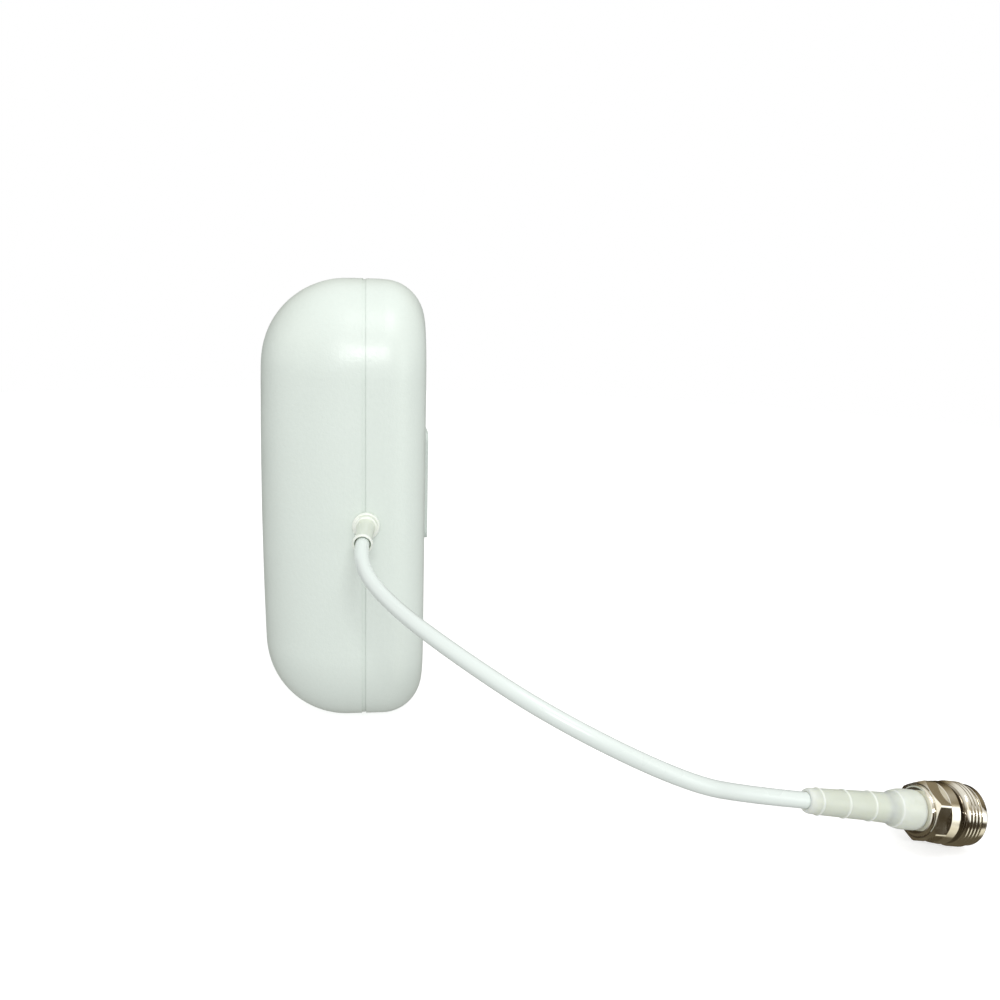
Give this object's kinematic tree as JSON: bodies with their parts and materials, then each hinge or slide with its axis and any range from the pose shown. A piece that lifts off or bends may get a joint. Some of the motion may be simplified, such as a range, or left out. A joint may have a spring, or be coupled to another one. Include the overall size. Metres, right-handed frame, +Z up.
{
  "type": "indoor panel antenna of a cellular signal booster",
  "caption": "White wall-mount panel antenna of a cellular signal booster: rounded two-shell housing, slide-on wall bracket and a coaxial pigtail ending in a threaded N-type socket.",
  "frame": {"origin": "middle of the housing and wall bracket at the surface that it stands on", "axes": "+X towards the wall bracket, -X towards the radome front, -Y towards the side that the cable leaves, +Z up as it stands on its long edge"},
  "size_m": [0.1852, 0.2462, 0.136],
  "materials": {
    "housing_shell": "satin off-white ABS with a very fine moulded texture",
    "bracket_plastic": "satin grey-green moulded plastic",
    "grommet_vinyl": "satin cream vinyl",
    "cable_jacket": "glossy white cable jacket",
    "boot_polymer": "milky, slightly translucent soft plastic",
    "nickel_plate": "bright nickel plating on turned brass",
    "gold_contact": "gold plating",
    "ptfe": "smooth white",
    "sheet_aluminium": "mill-finish sheet",
    "zinc_steel": "zinc plated",
    "nylon": "natural nylon",
    "brass_strip": "tinned brass and copper",
    "tinned_braid": "tinned copper braid"
  },
  "bodies": {
    "antenna": {"front_cover": "housing_shell", "rear_cover": "housing_shell", "housing_screws": "zinc_steel", "reflector_plate": "sheet_aluminium", "reflector_screws": "zinc_steel", "driven_patch": "sheet_aluminium", "director_patch": "sheet_aluminium", "rear_spacers": "nylon", "front_spacers": "nylon", "patch_screws": "nylon", "patch_nuts": "nylon", "inner_cable": "cable_jacket", "coax_braid": "tinned_braid", "coax_dielectric": "ptfe", "coax_core": "brass_strip", "cable_clamp": "zinc_steel", "clamp_screws": "zinc_steel", "feed_strip": "brass_strip", "cable_grommet": "grommet_vinyl", "coax_cable": "cable_jacket", "cable_tail": "cable_jacket", "strain_relief_boot": "boot_polymer", "crimp_ferrule": "nickel_plate", "clamp_ring": "nickel_plate", "connector_body": "nickel_plate", "connector_insulator": "ptfe", "centre_contact": "gold_contact", "pigtail_dielectric": "ptfe"},
    "bracket": {"wall_bracket": "bracket_plastic"}
  },
  "joints": [
    {"name": "bracket_slide", "type": "slide", "parent": "antenna", "child": "bracket", "axis": [0, -1, 0], "range_m": [0, 0.026]}
  ]
}
